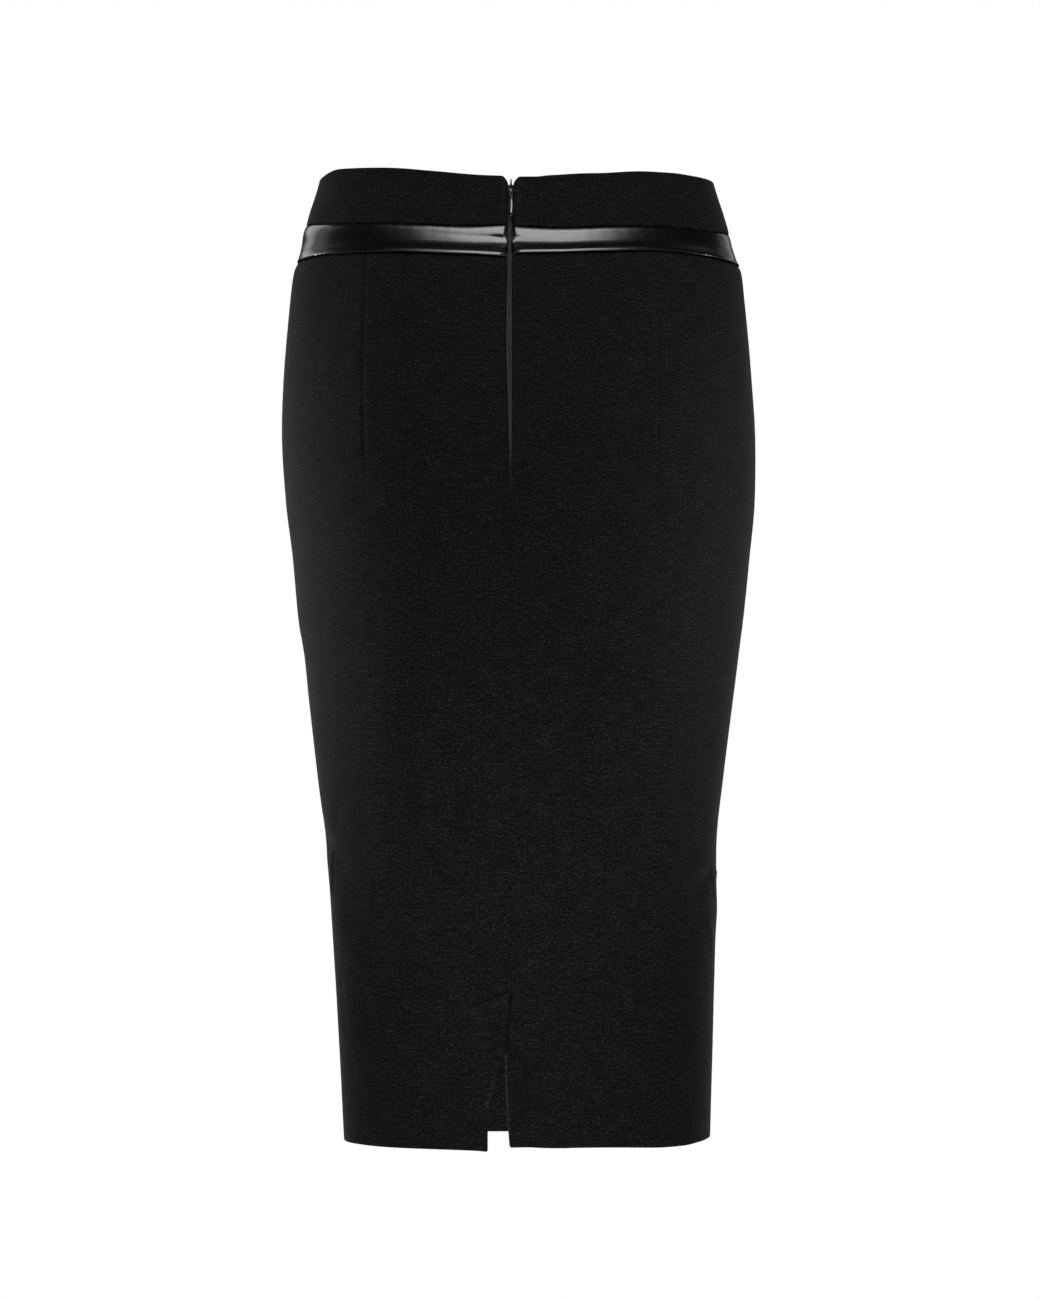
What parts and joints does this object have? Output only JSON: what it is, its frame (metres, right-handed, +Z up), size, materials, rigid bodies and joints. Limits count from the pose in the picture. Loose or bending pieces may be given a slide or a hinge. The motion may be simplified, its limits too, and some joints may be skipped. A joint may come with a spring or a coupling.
{
  "type": "pencil skirt",
  "caption": "Black knee-length pencil skirt, held in its worn shape, with a curved waist yoke, a glossy leather-look hip band, a long centre-back zip and an open back vent.",
  "frame": {"origin": "centre of the waist opening, a millimetre below the waist edge beside the zip at the centre back, in the plane of the centre-back seam and of the two side seams", "axes": "+Z up, out of the waist; +Y to the wearer's front, so the back with the zip faces -Y; +X to the wearer's right"},
  "size_m": [0.3458, 0.235, 0.708],
  "materials": {
    "jersey": "matt black double-knit jersey with a fine crosswise heather and a soft sheen at grazing angles",
    "band_leather": "glossy black coated leather-look cloth",
    "zip_cloth": "plain black woven zip tape",
    "zip_nylon": "satin dark grey nylon coil",
    "black_lacquer": "glossy black lacquer on die-cast metal"
  },
  "bodies": {
    "skirt": {"back_panel_left": "jersey", "back_panel_right": "jersey", "front_panel": "jersey", "back_yoke_left": "jersey", "back_yoke_right": "jersey", "front_yoke": "jersey", "back_band_left": "band_leather", "back_band_right": "band_leather", "front_band": "band_leather", "zip_tape": "zip_cloth", "zip_chain": "zip_nylon", "zip_slider": "black_lacquer"},
    "pull_tab": {"zip_pull": "black_lacquer"}
  },
  "joints": [
    {"name": "pull_tab_hinge", "type": "hinge", "parent": "skirt", "child": "pull_tab", "pos_m": [0, -0.09985, -0.01016], "axis": [-1, 0, 0], "range_deg": [0, 165]}
  ]
}
